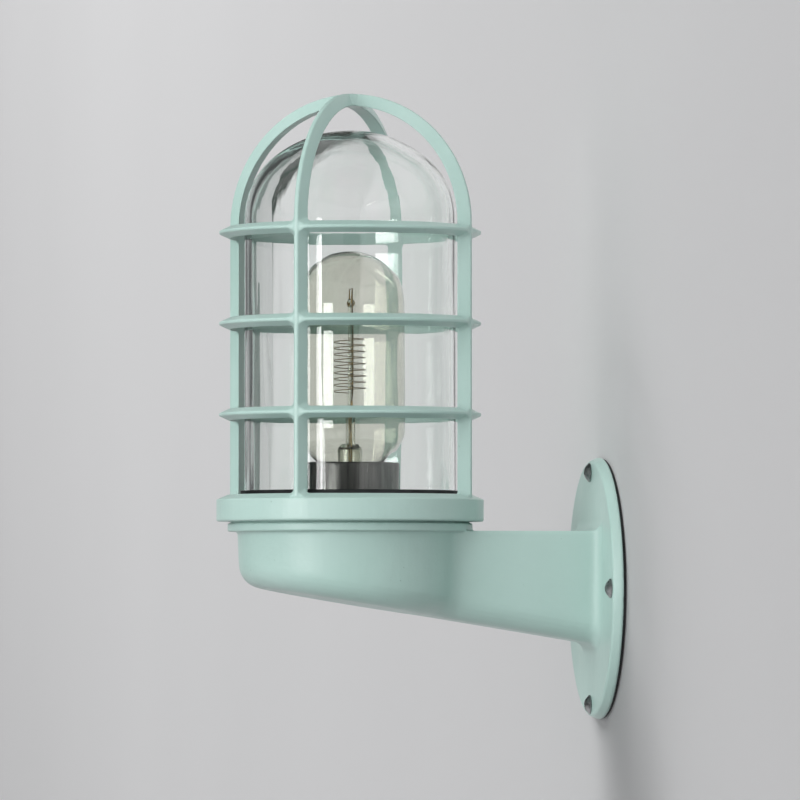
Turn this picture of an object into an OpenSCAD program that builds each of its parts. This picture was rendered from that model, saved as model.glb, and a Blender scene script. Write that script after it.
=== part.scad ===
// Cage wall light: a cast bracket with a round wall plate carries a glass jar under a screwed guard.
// The origin is on the wall at the centre of the screw circle, +Z is up and the light faces -Y.

/* [Wall plate] */
// Radius of the round wall plate
plate_r = 62; // [61:0.5:66]
// Thickness of the wall plate
plate_t = 5; // [4:0.5:7]
// How far the rim slopes in from the plate's edge to its face
plate_bevel = 2.2; // [1:0.2:2.4]
// Straight height of the rim next to the wall
plate_land = 1.2; // [0.6:0.2:2]
// Thickness of the rubber sheet behind the plate
wall_gasket_t = 1; // [0.6:0.2:2]
// How far the rubber sheet stops short of the plate's edge
wall_gasket_inset = 0.6; // [0.4:0.2:2]
// Distance of the wall screws' middles from the plate's edge
screw_edge = 7; // [6.8:0.2:8]
// Radius of a wall screw's thread
wall_screw_r = 2.1; // [1.8:0.1:2.4]
// Length of a wall screw beyond the wall face
wall_screw_len = 28; // [20:1:40]
// Radius of the cable hole in the plate
cable_hole_r = 10; // [8:0.5:11]
// Radius of the cable way through the grommet
cable_r = 4.2; // [3:0.1:5]

/* [Arm and bowl] */
// Distance from the wall to the middle of the lantern
reach = 121; // [115:1:140]
// Width of the arm
arm_w = 56; // [50:1:58]
// Height of the arm's top above the plate's centre
arm_top = 27; // [25:0.5:30]
// Depth of the bowl below the arm's top, at its middle
bowl_depth = 34; // [32:0.5:38]
// How far the bowl's top edge lies in from the thread's outside
bowl_in = 3.8; // [3:0.2:5]
// Slope of the cast walls from upright, in degrees
wall_draft = 2.5; // [0:0.5:4]
// Slope of the underside down towards the wall, in degrees
floor_tilt = 9.5; // [6:0.5:11]
// Radius of the rounded lower edge
edge_round = 11.5; // [9:0.5:13]
// Radius of the hollow between bowl and arm
neck_round = 8; // [5:1:10]
// Radius of the hollow between arm and plate
plate_round = 5; // [3:0.5:6]
// Wall thickness of the casting
cast_wall = 4; // [3:0.5:4.5]

/* [Thread and seat] */
// How far the threaded collar stands out past the glass
collar_out = 7; // [6.4:0.2:8]
// Length of thread that holds the guard
thread_len = 9.1; // [7:0.5:11]
// Height of the lip under the collar
lip_h = 3.6; // [2.5:0.2:5]
// How far the lip stands out past the collar
lip_out = 0.8; // [0.4:0.2:1.6]
// Gap between the lip and the guard's ring
ring_gap = 0.9; // [0.4:0.1:1.6]
// Thickness of the ring-shaped gasket under the glass
glass_gasket_t = 1.6; // [1:0.2:2.4]
// Thickness of the seal between glass and guard
seal_t = 1.4; // [1:0.2:2]

/* [Glass jar] */
// Outer radius of the glass jar
glass_r = 50; // [46:0.5:54]
// Wall thickness of the glass
glass_wall = 3.6; // [3:0.2:4.5]
// Height of the jar from its foot to where the dome starts
glass_side_h = 139.2; // [120:0.2:150]
// How much lower the dome is than a half ball
dome_flat = 7.9; // [5:0.1:10]
// How much smaller the radius of the dome's shoulder is than the glass
dome_x = 12; // [11:0.5:16]
// Thickness of the flange round the jar's foot
flange_t = 4; // [3:0.5:5]

/* [Guard] */
// Thickness of the guard's base ring round the thread
ring_wall = 5.8; // [5:0.2:7]
// How far the ring's top slopes down to its outer edge
ring_slope = 2.4; // [1:0.2:3]
// Thickness of the shoulder that presses on the seal
ring_shoulder_t = 3.3; // [2.5:0.2:4.5]
// Space between the glass and the guard's ribs
cage_gap = 6.4; // [5.5:0.2:8]
// Depth of a rib, from its inner to its outer face
rib_depth = 5.8; // [4.5:0.2:7]
// Width of a rib at its inner face
rib_inner_w = 3.3; // [2.8:0.1:5]
// Width of a rib at its outer face
rib_outer_w = 1.2; // [1:0.1:2.4]
// Height of a hoop at its inner edge
hoop_inner_h = 6; // [4:0.2:8]
// Height of a hoop at its outer edge
hoop_outer_h = 1.2; // [1:0.1:2.4]
// Distance between hoops
hoop_pitch = 43; // [36:0.5:44]
// Radius of the rounded corners where ribs and hoops meet
corner_round = 2.4; // [1.5:0.1:3]
// Turn of the ribs round the lantern's axis, in degrees
rib_turn = 55; // [0:5:90]

/* [Lampholder] */
// Radius of the lampholder's metal shell
shell_r = 23.1; // [22.5:0.1:25]
// Height of the lampholder's shell
shell_h = 45.4; // [42:0.5:48]
// Thickness of the sheet metal in the shell
shell_t = 1.2; // [0.8:0.1:1.6]
// Depth of the lampholder's base below the arm's top
holder_drop = 13; // [12:0.5:15]
// Thickness of the steel strap that carries the lampholder
strap_t = 1.5; // [1:0.1:2.5]
// Space between the lampholder's shell and the heads of the strap screws
strap_screw_gap = 3; // [1:0.5:6]

/* [Bulb] */
// Radius of the tubular bulb
bulb_r = 25.8; // [22:0.2:27]
// Length of the bulb from its tip contact to its top
bulb_len = 132.7; // [128:0.1:140]
// Radius of the bulb's lower shoulder
bulb_shoulder_r = 14; // [10:0.5:16]
// Radius of the screw cap
cap_r = 13.1; // [12.8:0.1:13.3]
// Length of the screw cap
cap_len = 27; // [25:0.5:29]
// Turns of the filament round the glass rod
filament_turns = 9; // [5:1:10]

/* [Hidden] */

$fn = 96;

// Colours
paint = "#b0ccc2";
rubber = "#2b2d2e";
steel = "#8d9093";
zinc = "#b9bdc0";
brass = "#c2a05a";
ceramic = "#e9e6dd";
clear_glass = "#dfe9e6";
amber_glass = "#e3ddc6";
tungsten = "#4a4642";

// Clearances and overruns
overrun = 1;
fit_gap = 0.3;
seat_gap = 0.2;
thread_gap = 0.05;
bond = 0.3;

// Wall screws
screw_count = 4;
screw_circle_d = 2 * (plate_r - screw_edge);
screw_head_r = 4.5;
screw_head_h = 2.9;
screw_neck_r = wall_screw_r + fit_gap;
screw_hole_r = screw_neck_r + fit_gap;
screw_tip_len = 5;
screw_tip_r = 0.3;

// Cable grommet
grommet_flange_t = 1.5;
grommet_flange_out = 2.5;
grommet_recess = grommet_flange_t + thread_gap * 2;
grommet_recess_r = cable_hole_r + grommet_flange_out + fit_gap;

// Places along the arm, measured from the lantern's axis towards the wall
plate_back = reach - wall_gasket_t;
plate_face = plate_back - plate_t;
face_r = plate_r - plate_bevel;

// Radii that follow the glass: thread, bowl, guard ring and dome
collar_r = glass_r + collar_out;
bowl_r = collar_r - bowl_in;
ring_r = collar_r + fit_gap + ring_wall;
glass_dome_h = glass_r - dome_flat;
glass_shoulder_r = glass_r - dome_x;

// Heights of the seat, from the arm's top upwards
lip_top = arm_top + lip_h;
ring_bottom = lip_top + ring_gap;
collar_top = ring_bottom + thread_len;
shoulder_z = collar_top + fit_gap;
seal_z = shoulder_z - seat_gap - seal_t;
flange_top = seal_z - seat_gap;
flange_z = flange_top - flange_t;
gasket_z = flange_z - seat_gap - glass_gasket_t;
collar_wall = 2.7;
seat_r = collar_r - collar_wall;
mouth_ledge = 2.2;
mouth_r = bowl_r - cast_wall - mouth_ledge;
flange_r = seat_r - fit_gap;

// Guard
rib_count = 4;
hoop_count = 3;
ring_bore_r = collar_r + fit_gap;
ring_flat_r = ring_bore_r + bond;
ring_inner_r = glass_r + 2 * fit_gap + seal_t;
ring_top = shoulder_z + ring_shoulder_t;
ring_edge = 0.6;
rib_inner_r = glass_r + cage_gap;
rib_outer_r = rib_inner_r + rib_depth;
rib_foot = ring_top - ring_slope - bond;
hoop_inner_r = rib_inner_r + bond;
hoop_outer_r = rib_outer_r - bond;
glass_spring = flange_z + glass_side_h;
cage_drop = 3;
cage_spring = glass_spring - cage_drop;
hoop_drop = 3.4;
top_hoop = cage_spring - hoop_drop;
corner_steps = 4;
crown_r = 1.7;
crown_rise = 0.1;
corner_sink = 0.06;
corner_in = hoop_inner_r + bond / 2;
corner_out = hoop_outer_r - bond / 2;
seal_rise = 1.8;

// Lampholder, seen from its base upwards
holder_z = arm_top - holder_drop;
strap_z = holder_z - strap_t;
strap_w = 22;
strap_end = 6.5;
boss_r = 5;
boss_sink = 1;
strap_screw_r = 2;
strap_head_r = 3.9;
strap_head_h = 2.4;
strap_screw_x = shell_r + strap_head_r + strap_screw_gap;
strap_screw_len = 10;
ceramic_z = holder_z + shell_t;
ceramic_r = shell_r - shell_t - fit_gap;
ceramic_h = 36;
socket_floor_t = 7;
socket_floor = ceramic_z + socket_floor_t;
shell_rim_w = 2;
contact_t = 0.6;
screw_play = 0.4;
contact_inner_r = cap_r + screw_play;
contact_outer_r = contact_inner_r + contact_t;
socket_r = contact_outer_r + thread_gap;
contact_len = 24;
nipple_r = 5;
nipple_bore_r = 3.6;
nipple_grip = 5;
washer_t = 1;
washer_r = 8.4;
nut_h = 3;
nut_r = 8.1;
nipple_end = 1.5;
nipple_z = strap_z - washer_t - nut_h - nipple_end;
tongue_w = 7;
tongue_rise = 4;
tongue_top = socket_floor + tongue_rise;

// Bulb, seen from its tip upwards
tip_z = tongue_top + fit_gap;
tip_h = 1.6;
tip_r = 4.6;
glaze_h = 2.4;
glaze_r = 6.2;
glaze_plug = 1.4;
cap_z = tip_z + tip_h + glaze_h;
cap_top = tip_z + cap_len;
cap_t = 0.5;
bulb_top = tip_z + bulb_len;
bulb_wall = 0.8;
neck_r = cap_r - cap_t - fit_gap;
neck_sink = 3;
neck_out = 2.6;
neck_top = cap_top + neck_out;
taper = 45;
shoulder_x = bulb_r - bulb_shoulder_r;
taper_x = shoulder_x + bulb_shoulder_r * cos(taper);
taper_z = neck_top + (taper_x - neck_r) * tan(taper);
bulb_shoulder_z = taper_z + bulb_shoulder_r * sin(taper);
bulb_dome_z = bulb_top - bulb_r;

// Stem and filament
stem_z = cap_top - neck_sink;
stem_foot_r = neck_r - bulb_wall - fit_gap;
stem_flare_h = 6;
stem_r = 5.6;
stem_wall = 0.9;
stem_rise = 14.5;
stem_top = cap_top + stem_rise;
stem_round = 2;
press_h = 14;
press_sink = 3;
press_w = 8.2;
press_t = 3.4;
rod_r = 1.1;
rod_drop = 22.6;
rod_top = bulb_top - rod_drop;
button_r = 2;
lead_x = 2.9;
lead_wire_r = 0.35;
hook_up = 20.3;
hook_z = stem_top + hook_up;
hook_x = 5.6;
hook_rise = 4.3;
filament_r = 7.4;
filament_wire_r = 0.2;
spoke_sides = 5;
filament_sides = 6;
filament_steps = 24;
leg_steps = 8;
filament_rise = 4;
filament_z = hook_z + filament_rise;
filament_pitch = 2.9;
filament_top = filament_z + filament_turns * filament_pitch;
return_gap = 1.3;
return_x = filament_r + return_gap;
fork_rise = 4.3;
fork_z = rod_top + fork_rise;
fork_x = 4.8;
spoke_r = 0.25;
spoke_rise = 0.5;

// Terminal block and wiring
block_ways = 3;
block_pitch = 10;
block_l = 17;
block_h = 13;
block_y = 62;
way_r = 2.6;
tube_wall = 0.9;
tube_l = 15;
well_r = 2.3;
well_y = 4.6;
term_screw_r = 1.5;
term_screw_h = 5;
block_screw_r = 1.3;
block_screw_head_r = 2.6;
block_screw_head_h = 1.8;
lead_r = 1.1;
lead_sides = 8;
lead_steps = 6;
lead_grip = 4;
earth_y = 36;
earth_x = 15;
earth_boss_h = 4;
earth_boss_r = 4.2;
earth_screw_r = 2;
earth_head_r = 3.6;
earth_head_h = 2.4;
lug_t = 0.8;
lug_r = 4;
lug_tail = 5;
lug_tail_w = 3.4;
lead_slack = 1.5;
lead_bend = 6;
lead_sweep_x = 5;
lead_sweep_y = 22;
lead_sweep_z = 2.5;
lead_turn_y = 3.5;
lead_turn_z = 2.6;
lead_out_y = 3;
nipple_lead_x = 1.5;

// Facets of the bracket's rounded form
bowl_step = 4.5;
neck_steps = 5;
root_steps = 5;
edge_steps = 7;

// Places and directions
module at_lantern() {
    translate([0, -reach, 0]) children();
}

module on_floor(x, y) {
    translate([x, y, inner_floor(y)]) rotate([-floor_tilt, 0, 0]) children();
}

function floor_z(y) = arm_top - bowl_depth - y * tan(floor_tilt);
function inner_floor(y) = floor_z(y) + cast_wall / cos(floor_tilt);
function unit(v) = v / norm(v);

// The bracket's form: a ball of the edge's radius rolls along the sloping floor inside the top outline,
// further in where the leaning wall is taller. Each station is a column of points, from the top rim
// down the wall and round under the edge.
down = [0, -sin(floor_tilt), -cos(floor_tilt)];
lean = tan(wall_draft);
neck_x = arm_w / 2 + neck_round;
neck_y = sqrt(pow(bowl_r + neck_round, 2) - pow(neck_x, 2));
neck_angle = atan2(neck_y, neck_x);
bowl_steps = round((neck_angle + 90) / bowl_step);

function ball_z(y) = floor_z(y) + edge_round / cos(floor_tilt);
function ball_in(y) = edge_round / cos(wall_draft) + (arm_top - ball_z(y)) * lean;
function ball_out(y, r, top) = r / cos(wall_draft) + (top - ball_z(y)) * lean;
function along_tilt(a) = 1 + sin(a) * tan(floor_tilt) * lean;
function turned(side, share) =
    let (whole = acos(side * down))
    (sin((1 - share) * whole) * side + sin(share * whole) * down) / sin(whole);

function ball_column(x, y, angle, r, top) =
    let (
        side = [cos(angle), sin(angle), 0], out = ball_out(y, r, top), centre = [x, y, ball_z(y)],
        start = cos(wall_draft) * side - [0, 0, sin(wall_draft)]
    )
    concat(
        [[x + out * side[0], y + out * side[1], top]],
        [for (k = [0:edge_steps]) centre + r * turned(start, k / edge_steps)]
    );

function arm_column(y, r, top) =
    let (start = [cos(wall_draft), 0, -sin(wall_draft)], x = arm_w / 2 - ball_in(y))
    concat(
        [[x + ball_out(y, r, top), y, top]],
        [
            for (k = [0:edge_steps])
                let (d = r * turned(start, k / edge_steps))
                [x + d[0], y, ball_z(y - d[1]) + d[2]]
        ]
    );

function half_form(r, top, flare) = concat(
    [
        for (i = [0:bowl_steps])
            let (a = -90 + i * (neck_angle + 90) / bowl_steps, c = (bowl_r - ball_in(0)) / along_tilt(a))
            ball_column(c * cos(a), c * sin(a), a, r, top)
    ],
    [
        for (i = [1:neck_steps])
            let (a = neck_angle * (1 - i / neck_steps), c = (neck_round + ball_in(neck_y)) / along_tilt(a))
            ball_column(neck_x - c * cos(a), neck_y - c * sin(a), a, r, top)
    ],
    [
        for (i = [0:root_steps])
            let (a = 90 * i / root_steps, grow = flare * (1 - cos(a)))
            arm_column(plate_face - flare * (1 - sin(a)), r + grow, top + grow)
    ]
);

function mirrored(column) = [for (p = column) [-p[0], p[1], p[2]]];

module cast_form(r, top, flare, tail) {
    right = flare > 0
        ? concat(half_form(r, top, flare), [arm_column(plate_face + tail, r + flare, top + flare)])
        : [for (i = [0:bowl_steps + neck_steps + 1]) half_form(r, top, flare)[i]];
    n = len(right) - 1;
    columns = concat(right, [for (i = [n:-1:1]) mirrored(right[i])]);
    count = len(columns);
    rows = edge_steps + 2;
    wall = [
        for (s = [0:count - 1], k = [0:rows - 2])
            let (a = s * rows + k, b = ((s + 1) % count) * rows + k)
            each [[a, a + 1, b + 1], [a, b + 1, b]]
    ];
    ends = [
        for (i = [0:n - 1])
            let (
                a = i * rows, b = (i + 1) * rows,
                c = (count - i - 1) * rows, d = ((count - i) % count) * rows
            )
            each concat(
                [[a, b, c]], i > 0 ? [[a, c, d]] : [],
                [[b + rows - 1, a + rows - 1, c + rows - 1]],
                i > 0 ? [[c + rows - 1, a + rows - 1, d + rows - 1]] : []
            )
    ];
    faces = [for (f = concat(wall, ends)) [f[2], f[1], f[0]]];
    polyhedron(points = [for (c = columns) each c], faces = faces);
}

module screw_places(d) {
    for (i = [0:screw_count - 1]) rotate([0, 0, i * 360 / screw_count]) translate([d / 2, 0, 0]) children();
}

module wall_plate() {
    translate([0, plate_back, 0]) rotate([90, 0, 0]) rotate_extrude()
        polygon([
            [0, 0], [plate_r, 0], [plate_r, plate_land],
            [face_r + plate_bevel / 3, plate_t - plate_bevel / 4], [face_r, plate_t], [0, plate_t]
        ]);
}

module collar() {
    translate([0, 0, arm_top - bond]) cylinder(r = collar_r + lip_out, h = lip_h + bond);
    translate([0, 0, arm_top]) cylinder(r = collar_r, h = collar_top - arm_top);
}

module collar_bore() {
    mouth_h = collar_top - arm_top + cast_wall;
    translate([0, 0, arm_top - cast_wall - overrun]) cylinder(r = mouth_r, h = mouth_h + 2 * overrun);
    translate([0, 0, gasket_z]) cylinder(r = seat_r, h = collar_top - gasket_z + overrun);
}

module cast_bosses() {
    for (side = [-1, 1]) translate([side * strap_screw_x, 0, floor_z(0) + boss_sink])
        cylinder(r = boss_r, h = strap_z - floor_z(0) - boss_sink);
    on_floor(earth_x, earth_y) translate([0, 0, -boss_sink])
        cylinder(r = earth_boss_r, h = earth_boss_h + boss_sink);
    for (side = [-1, 1]) on_floor(side * block_pitch / 2, block_y) translate([0, 0, -boss_sink])
        cylinder(r = earth_boss_r, h = earth_boss_h + boss_sink);
}

module cast_holes() {
    for (side = [-1, 1]) translate([side * strap_screw_x, 0, strap_z - strap_screw_len])
        cylinder(r = strap_screw_r + thread_gap, h = strap_screw_len + overrun);
    on_floor(earth_x, earth_y) cylinder(r = earth_screw_r + thread_gap, h = earth_boss_h + overrun);
    for (side = [-1, 1]) on_floor(side * block_pitch / 2, block_y)
        cylinder(r = block_screw_r + thread_gap, h = earth_boss_h + overrun);
    translate([0, plate_back, 0]) rotate([90, 0, 0]) {
        screw_places(screw_circle_d) translate([0, 0, -overrun])
            cylinder(r = screw_hole_r, h = plate_t + 2 * overrun);
        translate([0, 0, -overrun]) cylinder(r = cable_hole_r, h = plate_t + 2 * overrun);
        translate([0, 0, -overrun]) cylinder(r = grommet_recess_r, h = grommet_recess + overrun);
    }
}

module bracket_casting() {
    color(paint) at_lantern() difference() {
        union() {
            difference() {
                union() {
                    cast_form(edge_round, arm_top, plate_round, plate_t / 2);
                    wall_plate();
                    collar();
                }
                cast_form(edge_round - cast_wall, arm_top - cast_wall, 0, 0);
                collar_bore();
            }
            cast_bosses();
        }
        cast_holes();
    }
}

module wall_gasket() {
    color(rubber) rotate([90, 0, 0]) linear_extrude(wall_gasket_t) difference() {
        circle(r = plate_r - wall_gasket_inset);
        circle(r = grommet_recess_r);
        screw_places(screw_circle_d) circle(r = screw_hole_r);
    }
}

module pan_screw(head_r, head_h, neck_r, neck_len) {
    crown = (head_r * head_r + head_h * head_h) / (2 * head_h);
    rotate_extrude() intersection() {
        translate([0, head_h - crown]) circle(r = crown);
        square([head_r, head_h]);
    }
    translate([0, 0, -neck_len]) cylinder(r = neck_r, h = neck_len + head_h / 2);
}

module wall_screws() {
    grip = plate_t + wall_gasket_t;
    color(steel) rotate([90, 0, 0]) screw_places(screw_circle_d) {
        translate([0, 0, grip]) pan_screw(screw_head_r, screw_head_h, screw_neck_r, grip);
        translate([0, 0, screw_tip_len - wall_screw_len])
            cylinder(r = wall_screw_r, h = wall_screw_len - screw_tip_len + grip / 2);
        translate([0, 0, -wall_screw_len]) cylinder(r1 = screw_tip_r, r2 = wall_screw_r, h = screw_tip_len);
    }
}

module cable_grommet() {
    web = plate_t - grommet_recess;
    color(rubber) at_lantern() translate([0, plate_back - grommet_recess, 0]) rotate([90, 0, 0])
        difference() {
        union() {
            translate([0, 0, -grommet_flange_t])
                cylinder(r = cable_hole_r + grommet_flange_out, h = grommet_flange_t);
            translate([0, 0, -grommet_flange_t])
                cylinder(r = cable_hole_r - thread_gap, h = web + 2 * grommet_flange_t);
            translate([0, 0, web]) cylinder(r = cable_hole_r + grommet_flange_out, h = grommet_flange_t);
        }
        translate([0, 0, -grommet_flange_t - overrun])
            cylinder(r = cable_r, h = plate_t + 2 * grommet_flange_t + 2 * overrun);
    }
}

module ring(inner, outer, h) {
    difference() {
        cylinder(r = outer, h = h);
        translate([0, 0, -overrun]) cylinder(r = inner, h = h + 2 * overrun);
    }
}

module glass_gasket() {
    color(rubber) at_lantern() translate([0, 0, gasket_z])
        ring(mouth_r + fit_gap, seat_r - fit_gap, glass_gasket_t);
}

module lampholder_strap() {
    color(zinc) at_lantern() translate([0, 0, strap_z]) linear_extrude(strap_t) difference() {
        intersection() {
            square([2 * (strap_screw_x + strap_end), strap_w], center = true);
            circle(r = strap_screw_x + strap_end);
        }
        circle(r = nipple_r + fit_gap);
        for (side = [-1, 1]) translate([side * strap_screw_x, 0]) circle(r = strap_screw_r + fit_gap);
    }
}

module strap_screws() {
    color(zinc) at_lantern() for (side = [-1, 1]) translate([side * strap_screw_x, 0, holder_z])
        pan_screw(strap_head_r, strap_head_h, strap_screw_r, strap_screw_len);
}

module lampholder_nipple() {
    color(zinc) at_lantern() translate([0, 0, nipple_z])
        ring(nipple_bore_r, nipple_r, ceramic_z + nipple_grip - nipple_z);
}

module nipple_washer() {
    color(zinc) at_lantern() translate([0, 0, strap_z - washer_t])
        ring(nipple_r + fit_gap, washer_r, washer_t);
}

module nipple_nut() {
    color(zinc) at_lantern() translate([0, 0, strap_z - washer_t - nut_h]) difference() {
        cylinder(r = nut_r, h = nut_h, $fn = 6);
        translate([0, 0, -overrun]) cylinder(r = nipple_r + thread_gap, h = nut_h + 2 * overrun);
    }
}

module lampholder_shell() {
    color(steel) at_lantern() translate([0, 0, holder_z]) rotate_extrude() difference() {
        square([shell_r, shell_h]);
        translate([0, shell_t]) square([shell_r - shell_t, shell_h - 2 * shell_t]);
        translate([0, shell_h / 2]) square([shell_r - shell_t - shell_rim_w, shell_h]);
        translate([0, -overrun]) square([nipple_r + fit_gap, shell_t + 2 * overrun]);
    }
}

module lampholder_ceramic() {
    color(ceramic) at_lantern() translate([0, 0, ceramic_z]) difference() {
        cylinder(r = ceramic_r, h = ceramic_h);
        translate([0, 0, socket_floor_t]) cylinder(r = socket_r, h = ceramic_h);
        translate([0, 0, -overrun])
            cylinder(r = nipple_r + thread_gap, h = nipple_grip + thread_gap + overrun);
        translate([0, 0, -overrun]) cylinder(r = nipple_bore_r, h = socket_floor_t + 2 * overrun);
    }
}

module screw_contact() {
    color(brass) at_lantern() translate([0, 0, socket_floor + tongue_rise])
        ring(contact_inner_r, contact_outer_r, contact_len);
}

module centre_contact() {
    foot = contact_inner_r - contact_t - fit_gap;
    color(brass) at_lantern() translate([0, tongue_w / 2, 0]) rotate([90, 0, 0])
        linear_extrude(tongue_w) polygon([
            [-foot, socket_floor], [-nipple_bore_r - lead_r, socket_floor],
            [-nipple_bore_r, tongue_top - contact_t], [tip_r, tongue_top - contact_t],
            [tip_r, tongue_top], [-nipple_bore_r - contact_t, tongue_top],
            [-nipple_bore_r - lead_r - contact_t, socket_floor + contact_t], [-foot, socket_floor + contact_t]
        ]);
}

module on_block() {
    on_floor(0, block_y) translate([0, 0, earth_boss_h]) children();
}

module block_ways() {
    for (i = [0:block_ways - 1]) translate([(i - (block_ways - 1) / 2) * block_pitch, 0, 0]) children();
}

module terminal_block() {
    body_w = block_ways * block_pitch;
    color(ceramic) at_lantern() on_block() difference() {
        translate([-body_w / 2, -block_l / 2, 0]) cube([body_w, block_l, block_h]);
        block_ways() {
            translate([0, block_l / 2 + overrun, block_h / 2]) rotate([90, 0, 0])
                cylinder(r = way_r, h = block_l + 2 * overrun);
            for (side = [-1, 1]) translate([0, side * well_y, block_h / 2]) cylinder(r = well_r, h = block_h);
        }
        for (side = [-1, 1]) translate([side * block_pitch / 2, 0, -overrun])
            cylinder(r = block_screw_r + fit_gap, h = block_h + 2 * overrun);
    }
}

module terminal_tubes() {
    color(brass) at_lantern() on_block() block_ways() difference() {
        translate([0, tube_l / 2, block_h / 2]) rotate([90, 0, 0])
            ring(way_r - tube_wall, way_r - thread_gap, tube_l);
        for (side = [-1, 1]) translate([0, side * well_y, block_h / 2])
            cylinder(r = term_screw_r + thread_gap, h = block_h);
    }
}

module terminal_screws() {
    color(zinc) at_lantern() on_block() block_ways() for (side = [-1, 1])
        translate([0, side * well_y, block_h / 2 + lead_r + thread_gap])
            cylinder(r = term_screw_r, h = term_screw_h);
}

module block_screws() {
    color(zinc) at_lantern() on_block() for (side = [-1, 1]) translate([side * block_pitch / 2, 0, block_h])
        pan_screw(block_screw_head_r, block_screw_head_h, block_screw_r, block_h + earth_boss_h - fit_gap);
}

// Leads: tubes swept along smooth paths through a few chosen places
function spline(a, b, c, d, t) =
    0.5 * (2 * b + (c - a) * t + (2 * a - 5 * b + 4 * c - d) * t * t + (3 * b - a - 3 * c + d) * t * t * t);
function smooth_path(p, steps) = concat(
    [
        for (i = [0:len(p) - 2], k = [0:steps - 1])
            spline(p[max(i - 1, 0)], p[i], p[i + 1], p[min(i + 2, len(p) - 1)], k / steps)
    ],
    [p[len(p) - 1]]
);
function heading(p, i) = unit(p[min(i + 1, len(p) - 1)] - p[max(i - 1, 0)]);

module tube(path, r, sides, aside) {
    last = len(path) - 1;
    points = [
        for (i = [0:last])
            let (t = heading(path, i), a = unit(cross(aside, t)), b = cross(t, a))
            for (k = [0:sides - 1]) path[i] + r * (cos(360 * k / sides) * a + sin(360 * k / sides) * b)
    ];
    walls = [
        for (i = [0:last - 1], k = [0:sides - 1])
            let (m = (k + 1) % sides, a = i * sides + k, b = i * sides + m)
            each [[a, a + sides, b + sides], [a, b + sides, b]]
    ];
    caps = [[for (k = [0:sides - 1]) k], [for (k = [sides - 1:-1:0]) last * sides + k]];
    polyhedron(points = points, faces = concat(walls, caps));
}

// A place in the terminal block, given across, along and above the sloping floor
function block_point(x, along, up) = [
    x, block_y + along * cos(floor_tilt) + up * sin(floor_tilt),
    inner_floor(block_y) - along * sin(floor_tilt) + up * cos(floor_tilt)
];
way_up = earth_boss_h + block_h / 2;
way_end = -block_l / 2;

function holder_lead(x, side, tail) = concat(
    [block_point(x, way_end + lead_grip, way_up), block_point(x, way_end, way_up)],
    [
        block_point(x + side * lead_slack, way_end - lead_bend, way_up),
        [side * lead_sweep_x, lead_sweep_y, lead_sweep_z],
        [side * nipple_lead_x, lead_turn_y, lead_turn_z],
        [side * nipple_lead_x, 0, nipple_z]
    ],
    tail
);

module live_wire() {
    end = [-nipple_lead_x, 0, tongue_top - contact_t - fit_gap];
    color("#7a4a32") at_lantern() tube(
        smooth_path(holder_lead(-block_pitch, -1, [end]), lead_steps),
        lead_r, lead_sides, [1, 0, 0]
    );
}

module neutral_wire() {
    color("#3d6a92") at_lantern() tube(
        smooth_path(holder_lead(0, 1, [
            [nipple_lead_x, 0, ceramic_z + nipple_grip],
            [nipple_lead_x, lead_out_y, socket_floor + lead_r + fit_gap],
            [nipple_lead_x, contact_inner_r - lead_out_y, socket_floor + lead_r + fit_gap],
            [nipple_lead_x, contact_inner_r - lead_r - fit_gap, tongue_top + lead_r]
        ]), lead_steps),
        lead_r, lead_sides, [1, 0, 0]
    );
}

function lug_point(along, up) =
    let (t = unit([block_pitch - earth_x, block_y - earth_y]))
    [
        earth_x + along * t[0], earth_y + along * t[1] + up * sin(floor_tilt),
        inner_floor(earth_y) - along * t[1] * tan(floor_tilt) + up
    ];

module earth_wire() {
    up = earth_boss_h + lug_t + fit_gap + lead_r;
    color("#7f9a4e") at_lantern() tube(
        smooth_path([
            block_point(block_pitch, way_end + lead_grip, way_up), block_point(block_pitch, way_end, way_up),
            block_point(block_pitch, way_end - lead_r, way_up), lug_point(lug_r + lug_tail, up + lead_r),
            lug_point(lug_r + lead_r + fit_gap, up)
        ], lead_steps),
        lead_r, lead_sides, [1, 0, 0]
    );
}

module earth_lug() {
    heading = atan2(block_y - earth_y, block_pitch - earth_x);
    color(brass) at_lantern() on_floor(earth_x, earth_y) translate([0, 0, earth_boss_h])
        linear_extrude(lug_t) difference() {
        union() {
            circle(r = lug_r);
            rotate([0, 0, heading]) translate([0, -lug_tail_w / 2]) square([lug_r + lug_tail, lug_tail_w]);
        }
        circle(r = earth_screw_r + fit_gap);
    }
}

module earth_screw() {
    color(zinc) at_lantern() on_floor(earth_x, earth_y) translate([0, 0, earth_boss_h + lug_t])
        pan_screw(earth_head_r, earth_head_h, earth_screw_r, earth_boss_h + lug_t - fit_gap);
}

// Guard: two arches of tapered section cross at the crown, with three hoops and a threaded base ring
module rib_section() {
    polygon([
        [rib_inner_r, -rib_inner_w / 2], [rib_outer_r, -rib_outer_w / 2],
        [rib_outer_r, rib_outer_w / 2], [rib_inner_r, rib_inner_w / 2]
    ]);
}

module guard_arch() {
    translate([0, 0, cage_spring]) rotate([90, 0, 0]) rotate_extrude(angle = 180) rib_section();
    for (turn = [0, 180]) rotate([0, 0, turn]) translate([0, 0, rib_foot])
        linear_extrude(cage_spring - rib_foot) rib_section();
}

module hoop(z) {
    translate([0, 0, z]) rotate_extrude() polygon([
        [hoop_inner_r, -hoop_inner_h / 2], [hoop_outer_r, -hoop_outer_h / 2],
        [hoop_outer_r, hoop_outer_h / 2], [hoop_inner_r, hoop_inner_h / 2]
    ]);
}

module base_ring() {
    rotate_extrude() polygon([
        [ring_bore_r, ring_bottom], [ring_r - ring_edge, ring_bottom], [ring_r, ring_bottom + ring_edge],
        [ring_r, ring_top - ring_slope], [ring_flat_r, ring_top], [ring_inner_r, ring_top],
        [ring_inner_r, shoulder_z], [ring_bore_r, shoulder_z]
    ]);
}

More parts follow.
